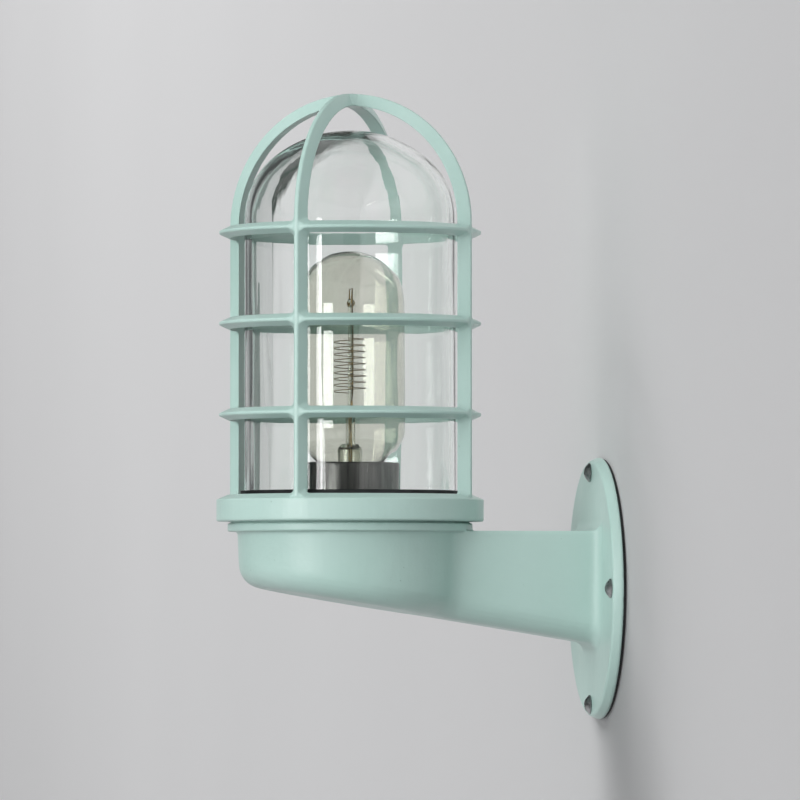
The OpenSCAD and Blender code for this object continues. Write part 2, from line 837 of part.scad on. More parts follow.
// Half sizes of a rib and a hoop, and the height of the ring's sloping top, at a distance from the axis
function rib_half(r) = lookup(r, [[rib_inner_r, rib_inner_w / 2], [rib_outer_r, rib_outer_w / 2]]);
function hoop_half(r) = lookup(r, [[hoop_inner_r, hoop_inner_h / 2], [hoop_outer_r, hoop_outer_h / 2]]);
function ring_height(r) = lookup(r, [[ring_flat_r, ring_top], [ring_r, ring_top - ring_slope]]);

// Outline of a hollow corner beside a bar of half width w and over a bar of half height h
function corner_outline(w, h) = concat(
    [[w - bond, h - bond], [w + corner_round, h - bond]],
    [
        for (k = [0:corner_steps])
            let (a = 270 - 90 * k / corner_steps)
            [w + corner_round, h + corner_round] + (corner_round + corner_sink) * [cos(a), sin(a)]
    ],
    [[w - bond, h + corner_round]]
);

function wrapped(outline, r) = [
    for (p = outline)
        let (a = p[0] / r * 180 / PI)
        [r * cos(a), r * sin(a), p[1]]
];

module loft(a, b) {
    n = len(a);
    polyhedron(
        points = concat(a, b),
        faces = concat(
            [for (i = [0:n - 1]) let (j = (i + 1) % n) each [[i, n + j, j], [i, n + i, n + j]]],
            [[for (i = [0:n - 1]) i]],
            [[for (i = [0:n - 1]) n + (n - i) % n]]
        )
    );
}

module rib_corner(low, high) {
    for (side = [0, 1]) mirror([0, side, 0]) loft(
        wrapped(corner_outline(rib_half(low[0]), low[1]), low[0]),
        wrapped(corner_outline(rib_half(high[0]), high[1]), high[0])
    );
}

module guard_corners() {
    for (i = [0:rib_count - 1]) rotate([0, 0, rib_turn + i * 360 / rib_count]) {
        rib_corner([ring_flat_r, ring_height(ring_flat_r)], [corner_out, ring_height(corner_out)]);
        for (k = [0:hoop_count - 1], flip = [0, 1])
            translate([0, 0, top_hoop - k * hoop_pitch]) mirror([0, 0, flip])
            rib_corner([corner_in, hoop_half(corner_in)], [corner_out, hoop_half(corner_out)]);
        translate([0, 0, cage_spring]) crown_corner(
            corner_outline(rib_half(corner_in), rib_half(corner_in)),
            corner_outline(rib_half(corner_out), rib_half(corner_out))
        );
    }
}

module crown_corner(low, high) {
    loft([for (p = low) [p[0], p[1], corner_in]], [for (p = high) [p[0], p[1], corner_out]]);
}

module guard_cage() {
    color(paint) at_lantern() union() {
        for (turn = [0, 90]) rotate([0, 0, rib_turn + turn]) guard_arch();
        for (k = [0:hoop_count - 1]) hoop(top_hoop - k * hoop_pitch);
        base_ring();
        guard_corners();
        translate([0, 0, cage_spring + rib_outer_r - crown_r])
            cylinder(r = crown_r, h = crown_r + crown_rise);
    }
}

module guard_seal() {
    inner = glass_r + fit_gap;
    color(rubber) at_lantern() rotate_extrude() polygon([
        [inner, seal_z], [flange_r, seal_z], [flange_r, seal_z + seal_t], [inner + seal_t, seal_z + seal_t],
        [inner + seal_t, ring_top + seal_rise], [inner, ring_top + seal_rise]
    ]);
}

// A slice of a disc between two directions
module pie(r, from, to) {
    intersection() {
        circle(r = r);
        polygon([[0, 0], 2 * r * [cos(from), sin(from)], 2 * r * [cos(to), sin(to)]]);
    }
}

// The jar's dome is a shoulder arc that runs smoothly into a flatter crown arc
dome_turn = 90 - 2 * atan2(glass_dome_h - glass_shoulder_r, dome_x);
dome_extra = dome_x / cos(dome_turn);
dome_crown_r = glass_shoulder_r + dome_extra;
dome_crown_z = glass_spring - dome_extra * sin(dome_turn);

module jar_outline(inset, foot) {
    translate([0, foot]) square([glass_r - inset, glass_spring - foot]);
    translate([dome_x, glass_spring]) pie(glass_shoulder_r - inset, 0, dome_turn);
    translate([0, dome_crown_z]) pie(dome_crown_r - inset, dome_turn, 90);
}

module glass_jar() {
    color(clear_glass, 0.35) at_lantern() rotate_extrude() difference() {
        union() {
            jar_outline(0, flange_z);
            translate([0, flange_z]) square([flange_r, flange_t]);
        }
        jar_outline(glass_wall, flange_z - overrun);
    }
}

// The bulb's glass: neck, slanting taper, round shoulder, straight side and round top
module bulb_outline(inset, foot) {
    neck_in = neck_top + inset * tan(taper / 2);
    lift = [-cos(taper), sin(taper)] * inset;
    translate([0, foot]) square([neck_r - inset, neck_in - foot]);
    polygon([
        [0, neck_in], [neck_r - inset, neck_in], [taper_x, taper_z] + lift, [shoulder_x, bulb_shoulder_z],
        [0, bulb_shoulder_z]
    ]);
    translate([shoulder_x, bulb_shoulder_z]) pie(bulb_shoulder_r - inset, -taper, 0);
    translate([0, bulb_shoulder_z]) square([bulb_r - inset, bulb_dome_z - bulb_shoulder_z]);
    translate([0, bulb_dome_z]) pie(bulb_r - inset, 0, 90);
}

module bulb_glass() {
    color(amber_glass, 0.3) at_lantern() rotate_extrude() difference() {
        bulb_outline(0, stem_z);
        bulb_outline(bulb_wall, stem_z - overrun);
    }
}

module bulb_cap() {
    color(brass) at_lantern() translate([0, 0, cap_z]) ring(cap_r - cap_t, cap_r, cap_top - cap_z);
}

module bulb_insulator() {
    color("#1d1f22") at_lantern() difference() {
        union() {
            translate([0, 0, tip_z + tip_h]) cylinder(r1 = glaze_r, r2 = cap_r - cap_t, h = glaze_h);
            translate([0, 0, cap_z]) cylinder(r = cap_r - cap_t - thread_gap, h = glaze_plug);
        }
        translate([0, 0, tip_z])
            cylinder(r = lead_wire_r + thread_gap, h = tip_h + glaze_h + glaze_plug + overrun);
    }
}

module bulb_tip() {
    color(zinc) at_lantern() translate([0, 0, tip_z]) cylinder(r1 = tip_r - tip_h / 2, r2 = tip_r, h = tip_h);
}

module bulb_stem() {
    color(clear_glass, 0.5) at_lantern() difference() {
        union() {
            rotate_extrude() difference() {
                polygon([
                    [0, stem_z], [stem_foot_r, stem_z], [stem_foot_r, stem_z + stem_wall],
                    [stem_r, stem_z + stem_flare_h], [stem_r, stem_top - stem_round],
                    [stem_r - stem_round, stem_top], [0, stem_top]
                ]);
                polygon([
                    [-overrun, stem_z - overrun], [stem_foot_r - stem_wall, stem_z - overrun],
                    [stem_foot_r - stem_wall, stem_z], [stem_r - stem_wall, stem_z + stem_flare_h],
                    [stem_r - stem_wall, stem_top - stem_round], [-overrun, stem_top - stem_round]
                ]);
            }
            translate([0, 0, stem_top - bond]) linear_extrude(press_h + bond)
                square([press_w, press_t], center = true);
            translate([0, 0, stem_top + press_h - press_sink])
                cylinder(r = rod_r, h = rod_top - stem_top - press_h + press_sink);
            translate([0, 0, rod_top - button_r]) sphere(r = button_r);
        }
        for (side = [-1, 1]) translate([side * lead_x, 0, stem_top - stem_round - overrun])
            cylinder(r = lead_wire_r + thread_gap, h = press_h + stem_round + 2 * overrun);
    }
}

function stem_lead(side, foot) = concat(
    foot,
    [
        [side * lead_x, 0, stem_top - stem_round - overrun], [side * lead_x, 0, stem_top + press_h + overrun],
        [side * hook_x, 0, hook_z - hook_rise / 2], [side * hook_x, 0, hook_z]
    ]
);

module lead_wires() {
    color(steel) at_lantern() {
        tube(
            stem_lead(-1, [[0, 0, tip_z + tip_h + thread_gap], [0, 0, cap_z + glaze_h]]),
            lead_wire_r, lead_sides, [0, 1, 0]
        );
        tube(
            stem_lead(1, [
                [cap_r - cap_t - lead_wire_r - thread_gap, 0, stem_z - overrun - neck_sink],
                [stem_r - stem_wall - overrun, 0, stem_z - neck_sink / 2]
            ]),
            lead_wire_r, lead_sides, [0, 1, 0]
        );
    }
}

module filament_supports() {
    color(steel) at_lantern() {
        for (side = [-1, 1]) tube(
            [
                [side * button_r, 0, rod_top - button_r],
                [side * (button_r + 2 * spoke_r), 0, rod_top - button_r], [side * fork_x, 0, fork_z]
            ],
            spoke_r, spoke_sides, [0, 1, 0]
        );
        for (i = [1:2:filament_turns - 1], turn = [0, 180])
            rotate([0, 0, turn])
            translate([0, 0, filament_z + (i + 0.5 - turn / 360) * filament_pitch - spoke_rise])
            tube(
                [[rod_r, 0, 0], [filament_r / 2, 0, 0], [filament_r + spoke_r, 0, 0]],
                spoke_r, spoke_sides, [0, 1, 0]
            );
    }
}

// The filament's path: up from one hook round the rod, over the fork and straight down to the other hook
function leg(a, b) = [for (k = [1:leg_steps]) a + (b - a) * k / leg_steps];
filament_left = [-fork_x - spoke_r, 0, fork_z + spoke_r + filament_wire_r];
filament_right = [fork_x + spoke_r, 0, fork_z + spoke_r + filament_wire_r];
filament_end = [hook_x, 0, hook_z + lead_wire_r + thread_gap];
filament_path = concat(
    [[-hook_x, 0, hook_z + lead_wire_r + thread_gap]],
    [
        for (i = [0:filament_turns * filament_steps])
            let (a = 180 + 360 * i / filament_steps)
            [filament_r * cos(a), filament_r * sin(a), filament_z + i * filament_pitch / filament_steps]
    ],
    leg([-filament_r, 0, filament_top], filament_left), leg(filament_left, filament_right),
    leg(filament_right, [return_x, 0, filament_top]),
    leg([return_x, 0, filament_top], [return_x, 0, filament_z]), leg([return_x, 0, filament_z], filament_end)
);

// Least distance between stretches of the wire that lie half a turn or more apart along it
function least_gap(path, r, apart) = min([
    for (i = [0:len(path) - 1 - apart], j = [i + apart:len(path) - 1]) norm(path[i] - path[j])
]) - 2 * r;

module filament() {
    gap = least_gap(filament_path, filament_wire_r, filament_steps / 2);
    echo("filament, least gap to itself in mm", gap);
    color(tungsten) at_lantern() tube(filament_path, filament_wire_r, filament_sides, [0, 1, 1]);
}

bracket_casting();
wall_gasket();
wall_screws();
cable_grommet();
glass_gasket();
lampholder_strap();
strap_screws();
lampholder_nipple();
nipple_washer();
nipple_nut();
lampholder_shell();
lampholder_ceramic();
screw_contact();
centre_contact();
terminal_block();
terminal_tubes();
terminal_screws();
block_screws();
live_wire();
neutral_wire();
earth_wire();
earth_lug();
earth_screw();
guard_cage();
guard_seal();
glass_jar();
bulb_glass();
bulb_cap();
bulb_insulator();
bulb_tip();
bulb_stem();
lead_wires();
filament_supports();
filament();
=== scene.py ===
import math

import bmesh
import bpy
from mathutils import Matrix, Vector, noise


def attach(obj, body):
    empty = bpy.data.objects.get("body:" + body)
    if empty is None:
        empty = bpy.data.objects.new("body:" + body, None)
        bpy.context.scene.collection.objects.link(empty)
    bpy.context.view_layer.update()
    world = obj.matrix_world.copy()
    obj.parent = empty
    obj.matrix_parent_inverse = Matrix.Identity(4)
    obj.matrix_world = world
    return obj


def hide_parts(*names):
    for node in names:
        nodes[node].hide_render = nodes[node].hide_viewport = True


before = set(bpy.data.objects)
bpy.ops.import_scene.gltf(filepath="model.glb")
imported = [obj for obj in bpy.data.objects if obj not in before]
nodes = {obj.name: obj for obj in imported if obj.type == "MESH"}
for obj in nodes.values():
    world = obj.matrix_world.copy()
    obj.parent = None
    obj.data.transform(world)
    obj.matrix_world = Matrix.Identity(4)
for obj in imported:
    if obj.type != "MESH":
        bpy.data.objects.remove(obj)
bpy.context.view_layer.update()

# Sizes are in millimetres up to the last step, in which mesh points become metres; WELD is in metres
MM = 0.001
REACH = 121
GLASS_R = 50
GLASS_WALL = 3.6
GLASS_FOOT = 35.1
FLANGE_TOP = 39.1
FLANGE_R = 54
GLASS_SPRING = 174.3
SHOULDER_R = 38
DOME_H = 42.1
CAP_TOP = 53.5
CAP_Z = 30.5
TIP_Z = 26.5
BULB_R = 25.8
BULB_TOP = 159.2
STEM_TOP = 68
HOOK_Z = 88.3
ROD_TOP = 136.6
SCREW_CIRCLE_R = 55
COLLAR_ROOT_R = 56.05
WELD = 0.000002
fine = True


# Plain helpers: meshes, outlines and tubes
def made(name, points, faces, smooth=True):
    mesh = bpy.data.meshes.new(name)
    mesh.from_pydata([Vector(p) * MM for p in points], [], faces)
    mesh.validate()
    mesh.update()
    for polygon in mesh.polygons:
        polygon.use_smooth = smooth
    piece = bpy.data.objects.new(name, mesh)
    bpy.context.scene.collection.objects.link(piece)
    return piece


def placed(piece, matrix):
    piece.data.transform(matrix)
    return piece


def at_lantern(piece):
    return placed(piece, Matrix.Translation((0, -REACH * MM, 0)))


def cleaned(piece, distance=0.00001):
    work = bmesh.new()
    work.from_mesh(piece.data)
    bmesh.ops.remove_doubles(work, verts=work.verts, dist=distance)
    bmesh.ops.recalc_face_normals(work, faces=work.faces)
    work.to_mesh(piece.data)
    work.free()
    return piece


def baked(piece):
    graph = bpy.context.evaluated_depsgraph_get()
    mesh = bpy.data.meshes.new_from_object(piece.evaluated_get(graph))
    piece.modifiers.clear()
    piece.data = mesh
    for polygon in mesh.polygons:
        polygon.use_smooth = True
    return piece


def joined(name, pieces):
    work = bmesh.new()
    for piece in pieces:
        work.from_mesh(piece.data)
    mesh = bpy.data.meshes.new(name)
    work.to_mesh(mesh)
    work.free()
    for piece in pieces:
        bpy.data.objects.remove(piece)
    whole = bpy.data.objects.new(name, mesh)
    for polygon in mesh.polygons:
        polygon.use_smooth = True
    bpy.context.scene.collection.objects.link(whole)
    return whole


def revolved(name, outline, steps=128, wobble=None):
    points, faces = [], []
    count = len(outline)
    for i in range(steps):
        angle = 2 * math.pi * i / steps
        for k, (r, z) in enumerate(outline):
            grown = r + (wobble(k, r, z, angle) if wobble else 0)
            points.append((grown * math.cos(angle), grown * math.sin(angle), z))
    for i in range(steps):
        for k in range(count):
            a, b = i * count, ((i + 1) % steps) * count
            m = (k + 1) % count
            faces.append((a + k, b + k, b + m, a + m))
    return cleaned(made(name, points, faces))


def rounded(corners, steps=5):
    outline = []
    for i, (x, y, radius) in enumerate(corners):
        here = Vector((x, y))
        before = (Vector(corners[i - 1][:2]) - here).normalized()
        after = (Vector(corners[(i + 1) % len(corners)][:2]) - here).normalized()
        half = before.angle(after) / 2
        if radius <= 0 or half > 1.55:
            outline.append((x, y))
            continue
        centre = here + (before + after).normalized() * radius / math.sin(half)
        start = here + before * radius / math.tan(half) - centre
        end = here + after * radius / math.tan(half) - centre
        first = math.atan2(start.y, start.x)
        turn = (math.atan2(end.y, end.x) - first + math.pi) % (2 * math.pi) - math.pi
        for k in range(steps + 1):
            angle = first + turn * k / steps
            outline.append((centre.x + radius * math.cos(angle), centre.y + radius * math.sin(angle)))
    return outline


def arc(cx, cy, radius, start, end, steps):
    angles = [math.radians(start + (end - start) * k / steps) for k in range(steps + 1)]
    return [(cx + radius * math.cos(a), cy + radius * math.sin(a)) for a in angles]


def tube(name, path, radius, sides=8):
    path = [Vector(p) for p in path]
    points, faces = [], []
    aside = None
    for i, here in enumerate(path):
        ahead = (path[min(i + 1, len(path) - 1)] - path[max(i - 1, 0)]).normalized()
        if aside is None:
            aside = ahead.orthogonal().normalized()
        aside = (aside - ahead * aside.dot(ahead)).normalized()
        across = ahead.cross(aside)
        for k in range(sides):
            angle = 2 * math.pi * k / sides
            points.append(here + radius * (math.cos(angle) * aside + math.sin(angle) * across))
    for i in range(len(path) - 1):
        for k in range(sides):
            m = (k + 1) % sides
            faces.append((i * sides + k, i * sides + m, (i + 1) * sides + m, (i + 1) * sides + k))
    last = (len(path) - 1) * sides
    faces.append(tuple(range(sides - 1, -1, -1)))
    faces.append(tuple(last + k for k in range(sides)))
    return made(name, points, faces)


def curved(places, steps):
    places = [Vector(p) for p in places]
    path = []
    for i in range(len(places) - 1):
        a, b = places[max(i - 1, 0)], places[i]
        c, d = places[i + 1], places[min(i + 2, len(places) - 1)]
        for k in range(steps):
            t = k / steps
            path.append(0.5 * (2 * b + (c - a) * t + (2 * a - 5 * b + 4 * c - d) * t * t
                               + (3 * b - a - 3 * c + d) * t * t * t))
    return path + [places[-1]]


# A threaded skin: rings of points whose radius follows a helix, closed by an inner wall
def threaded(name, low, high, root, crest, inner, pitch, fade, steps=96, rise=0.3, sharp=1.0):
    rows = round((high - low) / rise)
    heights = [low + (high - low) * k / rows for k in range(rows + 1)]
    outline = [(crest, z) for z in heights] + [(inner, high), (inner, low)]

    def helix(k, r, z, angle):
        if k > rows:
            return 0
        share = ((z - low) / pitch - angle / (2 * math.pi)) % 1
        wave = (1 - abs(2 * share - 1)) ** sharp
        ease = min(1, max(0, (z - low) / fade)) * min(1, max(0, (high - z) / fade))
        return -(crest - root) * (1 - ease * (wave * wave * (3 - 2 * wave)))

    return revolved(name, outline, steps, helix)


# A cast or moulded skin over a solid: even small faces, edges softened as paint and casting leave them
def cast_skin(name, node, voxel, rounds, keep, shrink=None):
    piece = bpy.data.objects.new(name, nodes[node].data.copy())
    bpy.context.scene.collection.objects.link(piece)
    piece.data.materials.clear()
    if shrink:
        for vertex in piece.data.vertices:
            vertex.co = shrink(vertex.co)
    cleaned(piece, WELD)
    mesher = piece.modifiers.new("mesher", "REMESH")
    mesher.mode = "VOXEL"
    mesher.voxel_size = voxel * MM
    softener = piece.modifiers.new("softener", "SMOOTH")
    softener.factor = 0.5
    softener.iterations = rounds
    thinner = piece.modifiers.new("thinner", "DECIMATE")
    thinner.ratio = keep
    return baked(piece)


def dressed(piece, body, slot, material, *stands_for):
    piece.data.materials.clear()
    piece.data.materials.append(material)
    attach(piece, body)
    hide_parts(*stands_for)
    return piece


# Colours as the eye sees them, turned into the shader's linear values
def colour(r, g, b):
    def linear(v):
        v = v / 255
        return v / 12.92 if v <= 0.04045 else ((v + 0.055) / 1.055) ** 2.4
    return (linear(r), linear(g), linear(b), 1)


def material(name):
    made_material = bpy.data.materials.new(name)
    made_material.use_nodes = True
    tree = made_material.node_tree
    return made_material, tree, tree.nodes["Principled BSDF"]


def grain(tree, scale, detail=2.0, stretch=(1, 1, 1)):
    place = tree.nodes.new("ShaderNodeTexCoord")
    stretcher = tree.nodes.new("ShaderNodeMapping")
    stretcher.inputs["Scale"].default_value = stretch
    texture = tree.nodes.new("ShaderNodeTexNoise")
    texture.inputs["Scale"].default_value = scale
    texture.inputs["Detail"].default_value = detail
    tree.links.new(place.outputs["Object"], stretcher.inputs["Vector"])
    tree.links.new(stretcher.outputs["Vector"], texture.inputs["Vector"])
    return texture


def ramp(tree, source, stops):
    node = tree.nodes.new("ShaderNodeValToRGB")
    while len(node.color_ramp.elements) < len(stops):
        node.color_ramp.elements.new(0.5)
    for element, (place, shade) in zip(node.color_ramp.elements, stops):
        element.position = place
        element.color = shade
    tree.links.new(source, node.inputs["Fac"])
    return node


def level(tree, source, low, high, start=0.3, end=0.7):
    node = tree.nodes.new("ShaderNodeMapRange")
    node.inputs["From Min"].default_value = start
    node.inputs["From Max"].default_value = end
    node.inputs["To Min"].default_value = low
    node.inputs["To Max"].default_value = high
    tree.links.new(source, node.inputs["Value"])
    return node


def relief(tree, shader, source, depth, under=None):
    node = tree.nodes.new("ShaderNodeBump")
    node.inputs["Strength"].default_value = 1.0
    node.inputs["Distance"].default_value = depth
    tree.links.new(source, node.inputs["Height"])
    if under:
        tree.links.new(under.outputs["Normal"], node.inputs["Normal"])
    tree.links.new(node.outputs["Normal"], shader.inputs["Normal"])
    return node


def surface(name, dark, light, tone, rough, bump, metal=0.0, stretch=(1, 1, 1)):
    whole, tree, shader = material(name)
    tones = grain(tree, tone, 3.0, stretch)
    shades = ramp(tree, tones.outputs["Fac"], [(0.35, dark), (0.65, light)])
    tree.links.new(shades.outputs["Color"], shader.inputs["Base Color"])
    wear = grain(tree, tone * 2.3, 3.0, stretch)
    gloss = level(tree, wear.outputs["Fac"], rough[0], rough[1])
    tree.links.new(gloss.outputs["Result"], shader.inputs["Roughness"])
    fine_grain = grain(tree, bump[0], 2.0, stretch)
    relief(tree, shader, fine_grain.outputs["Fac"], bump[1])
    shader.inputs["Metallic"].default_value = metal
    return whole


# Satin enamel on a casting: broad tone changes, a fine uneven skin and a few specks of dust in the paint
def painted():
    whole, tree, shader = material("mint_enamel")
    broad = grain(tree, 14, 3.0)
    base = ramp(tree, broad.outputs["Fac"], [
        (0.3, colour(163, 193, 185)), (0.55, colour(171, 199, 192)), (0.75, colour(176, 203, 196))])
    specks = tree.nodes.new("ShaderNodeTexVoronoi")
    specks.inputs["Scale"].default_value = 420
    place = tree.nodes.new("ShaderNodeTexCoord")
    tree.links.new(place.outputs["Object"], specks.inputs["Vector"])
    chosen = grain(tree, 60, 1.0)
    spot = level(tree, specks.outputs["Distance"], 1, 0, 0.05, 0.13)
    sparse = level(tree, chosen.outputs["Fac"], 0, 1, 0.66, 0.7)
    both = tree.nodes.new("ShaderNodeMath")
    both.operation = "MULTIPLY"
    tree.links.new(spot.outputs["Result"], both.inputs[0])
    tree.links.new(sparse.outputs["Result"], both.inputs[1])
    mixed = tree.nodes.new("ShaderNodeMix")
    mixed.data_type = "RGBA"
    mixed.inputs["B"].default_value = colour(118, 146, 136)
    tree.links.new(both.outputs["Value"], mixed.inputs["Factor"])
    tree.links.new(base.outputs["Color"], mixed.inputs["A"])
    tree.links.new(mixed.outputs["Result"], shader.inputs["Base Color"])
    cloudy = grain(tree, 45, 3.0)
    gloss = level(tree, cloudy.outputs["Fac"], 0.38, 0.48)
    tree.links.new(gloss.outputs["Result"], shader.inputs["Roughness"])
    swell = grain(tree, 110, 2.0)
    peel = grain(tree, 620, 2.0)
    first = relief(tree, shader, swell.outputs["Fac"], 0.00035)
    relief(tree, shader, peel.outputs["Fac"], 0.00006, first)
    shader.inputs["Coat Weight"].default_value = 0.5
    shader.inputs["Coat Roughness"].default_value = 0.34
    return whole


def glassy(name, tint, ripple, rough, depth_tint=None, density=0):
    whole, tree, shader = material(name)
    shader.inputs["Transmission Weight"].default_value = 1
    shader.inputs["IOR"].default_value = 1.5
    flow = grain(tree, ripple[0], 2.0, ripple[2])
    shades = ramp(tree, flow.outputs["Fac"], [(0.3, tint[0]), (0.7, tint[1])])
    tree.links.new(shades.outputs["Color"], shader.inputs["Base Color"])
    haze = level(tree, flow.outputs["Fac"], rough[0], rough[1])
    tree.links.new(haze.outputs["Result"], shader.inputs["Roughness"])
    relief(tree, shader, flow.outputs["Fac"], ripple[1])
    if density:
        body = tree.nodes.new("ShaderNodeVolumeAbsorption")
        body.inputs["Color"].default_value = depth_tint
        body.inputs["Density"].default_value = density
        tree.links.new(body.outputs["Volume"], tree.nodes["Material Output"].inputs["Volume"])
    return whole


paint = painted()
jar_glass = glassy("jar_glass", (colour(252, 255, 253), colour(255, 255, 255)),
                   (16, 0.0001, (6, 6, 0.5)), (0.0, 0.012), colour(150, 205, 180), 6)
bulb_clear = glassy("bulb_clear", (colour(242, 242, 235), colour(247, 247, 241)),
                    (22, 0.0002, (1, 1, 0.4)), (0.0, 0.01))
stem_clear = glassy("stem_clear", (colour(236, 238, 230), colour(244, 246, 240)),
                    (60, 0.0002, (1, 1, 0.6)), (0.0, 0.03))
rubber = surface("black_rubber", colour(18, 19, 20), colour(34, 36, 37), 90, (0.55, 0.75), (900, 0.00008))
grey_rubber = surface("grey_rubber", colour(46, 48, 49), colour(66, 68, 68), 90, (0.6, 0.8), (900, 0.00008))
zinc = surface("zinc_plate", colour(172, 174, 178), colour(200, 202, 205), 160,
               (0.28, 0.5), (700, 0.00004), 1.0)
screw_steel = surface("screw_steel", colour(120, 121, 122), colour(176, 177, 178), 260, (0.25, 0.5),
                      (900, 0.00004), 1.0)
sleeve_steel = surface("sleeve_steel", colour(98, 98, 96), colour(124, 123, 120), 70, (0.26, 0.46),
                       (260, 0.00006), 1.0, (8, 8, 0.35))
brass = surface("drawn_brass", colour(178, 140, 72), colour(216, 180, 108), 140,
                (0.25, 0.45), (600, 0.00004), 1.0)
cap_brass = surface("cap_brass", colour(176, 158, 116), colour(206, 190, 150), 120, (0.25, 0.45),
                    (500, 0.00004), 1.0)
porcelain = surface("porcelain", colour(222, 217, 205), colour(236, 232, 222), 60,
                    (0.35, 0.5), (500, 0.00006))
ivory = surface("ivory_plastic", colour(214, 210, 196), colour(228, 225, 214), 50,
                (0.4, 0.52), (800, 0.00004))
brown = surface("brown_sheath", colour(84, 48, 30), colour(104, 62, 40), 120, (0.35, 0.5), (900, 0.00004))
blue = surface("blue_sheath", colour(44, 84, 138), colour(60, 102, 158), 120, (0.35, 0.5), (900, 0.00004))
dark_glass = surface("dark_glass", colour(16, 17, 20), colour(30, 31, 36), 120, (0.08, 0.2), (400, 0.00006))
solder = surface("solder", colour(150, 152, 156), colour(184, 186, 190), 260,
                 (0.3, 0.55), (500, 0.0001), 1.0)
nickel_wire = surface("nickel_wire", colour(176, 148, 96), colour(206, 180, 128), 300,
                      (0.3, 0.5), (900, 0.00003), 1.0)
tungsten = surface("tungsten", colour(112, 96, 66), colour(150, 132, 96), 400,
                   (0.4, 0.6), (1200, 0.00003), 0.8)


def two_tone():
    whole, tree, shader = material("earth_sheath")
    place = tree.nodes.new("ShaderNodeTexCoord")
    stripe = tree.nodes.new("ShaderNodeTexWave")
    stripe.inputs["Scale"].default_value = 60
    stripe.inputs["Distortion"].default_value = 0.6
    stripe.bands_direction = "DIAGONAL"
    tree.links.new(place.outputs["Object"], stripe.inputs["Vector"])
    shades = ramp(tree, stripe.outputs["Fac"], [(0.48, colour(52, 110, 50)), (0.52, colour(206, 190, 60))])
    tree.links.new(shades.outputs["Color"], shader.inputs["Base Color"])
    skin = grain(tree, 900, 2.0)
    relief(tree, shader, skin.outputs["Fac"], 0.00004)
    gloss = level(tree, skin.outputs["Fac"], 0.35, 0.5)
    tree.links.new(gloss.outputs["Result"], shader.inputs["Roughness"])
    return whole


earth_sheath = two_tone()


# Bracket casting and guard: painted skins over the solids
def thinner_collar(point):
    # Takes the collar back to the root of its thread, which is a piece of its own
    x, y = point.x, point.y + REACH * MM
    r = math.hypot(x, y)
    if point.z > 30.4 * MM and 56.5 * MM < r < 57.3 * MM:
        x, y = x * COLLAR_ROOT_R * MM / r, y * COLLAR_ROOT_R * MM / r
        return Vector((x, y - REACH * MM, point.z))
    return point.copy()


# The guard's ribs are wedges, wide inside and narrow outside, and the guard is screwed on 3 degrees further
RIB_TURN = 55
RIB_SEAT = 58
RIB_OUT = (0.6, 0.9)
RIB_IN = (1.65, 3.6)
RIB_REACH = 9


def wedge(u):
    size = abs(u)
    if size >= RIB_REACH:
        return u
    steps = [(0, 0), RIB_OUT, RIB_IN, (RIB_REACH, RIB_REACH)]
    for (a, b), (c, d) in zip(steps, steps[1:]):
        if size <= c:
            return math.copysign(b + (size - a) * (d - b) / (c - a), u)
    return u


def wedge_ribs(point):
    x, y = point.x / MM, point.y / MM + REACH
    start, seat = math.radians(RIB_TURN), math.radians(RIB_SEAT)
    along = wedge(x * math.cos(start) + y * math.sin(start))
    across = wedge(y * math.cos(start) - x * math.sin(start))
    x = along * math.cos(seat) - across * math.sin(seat)
    y = along * math.sin(seat) + across * math.cos(seat)
    return Vector((x * MM, (y - REACH) * MM, point.z))


if fine:
    casting = cast_skin("bracket_skin", "bracket_casting", 0.6, 5, 0.35, thinner_collar)
    cage = cast_skin("guard_skin", "guard_cage", 0.36, 5, 0.4, wedge_ribs)
else:
    casting = cast_skin("bracket_skin", "bracket_casting", 1.0, 2, 0.6, thinner_collar)
    cage = cast_skin("guard_skin", "guard_cage", 0.55, 3, 0.6, wedge_ribs)
dressed(casting, "fitting", "bracket_casting", paint, "bracket_casting")
dressed(cage, "guard", "guard_cage", paint, "guard_cage")

collar_thread = at_lantern(threaded(
    "collar_thread", 31.1, 40.3, COLLAR_ROOT_R, 57.05, 55.4, 3, 0.8, 192, 0.25))
dressed(collar_thread, "fitting", "bracket_casting", paint, "bracket_casting")

# Glass jar: thick pressed glass whose inside is a little uneven
dome_x = GLASS_R - SHOULDER_R
dome_turn = 90 - 2 * math.degrees(math.atan2(DOME_H - SHOULDER_R, dome_x))
dome_extra = dome_x / math.cos(math.radians(dome_turn))
crown_r = SHOULDER_R + dome_extra
crown_z = GLASS_SPRING - dome_extra * math.sin(math.radians(dome_turn))


def jar_side(inset):
    return (
        arc(dome_x, GLASS_SPRING, SHOULDER_R - inset, 0, dome_turn, 14)
        + arc(0, crown_z, crown_r - inset, dome_turn, 90, 20)[1:]
    )


side_rows = 40
jar_outer = rounded([
    (GLASS_R - GLASS_WALL, GLASS_FOOT, 0), (FLANGE_R, GLASS_FOOT, 0.9), (FLANGE_R, FLANGE_TOP, 0.9),
    (GLASS_R, FLANGE_TOP, 0.25), (GLASS_R, GLASS_SPRING, 0)])[:-1]
rows = [FLANGE_TOP + (GLASS_SPRING - FLANGE_TOP) * k / side_rows for k in range(1, side_rows)]
inner_rows = [GLASS_FOOT + (GLASS_SPRING - GLASS_FOOT) * k / side_rows for k in range(side_rows)]
jar_outline = (
    jar_outer + [(GLASS_R, z) for z in rows] + jar_side(0)
    + list(reversed(jar_side(GLASS_WALL)))
    + [(GLASS_R - GLASS_WALL, z) for z in reversed(inner_rows)][:-1]
)
outer_count = len(jar_outer) + len(rows) + len(jar_side(0))


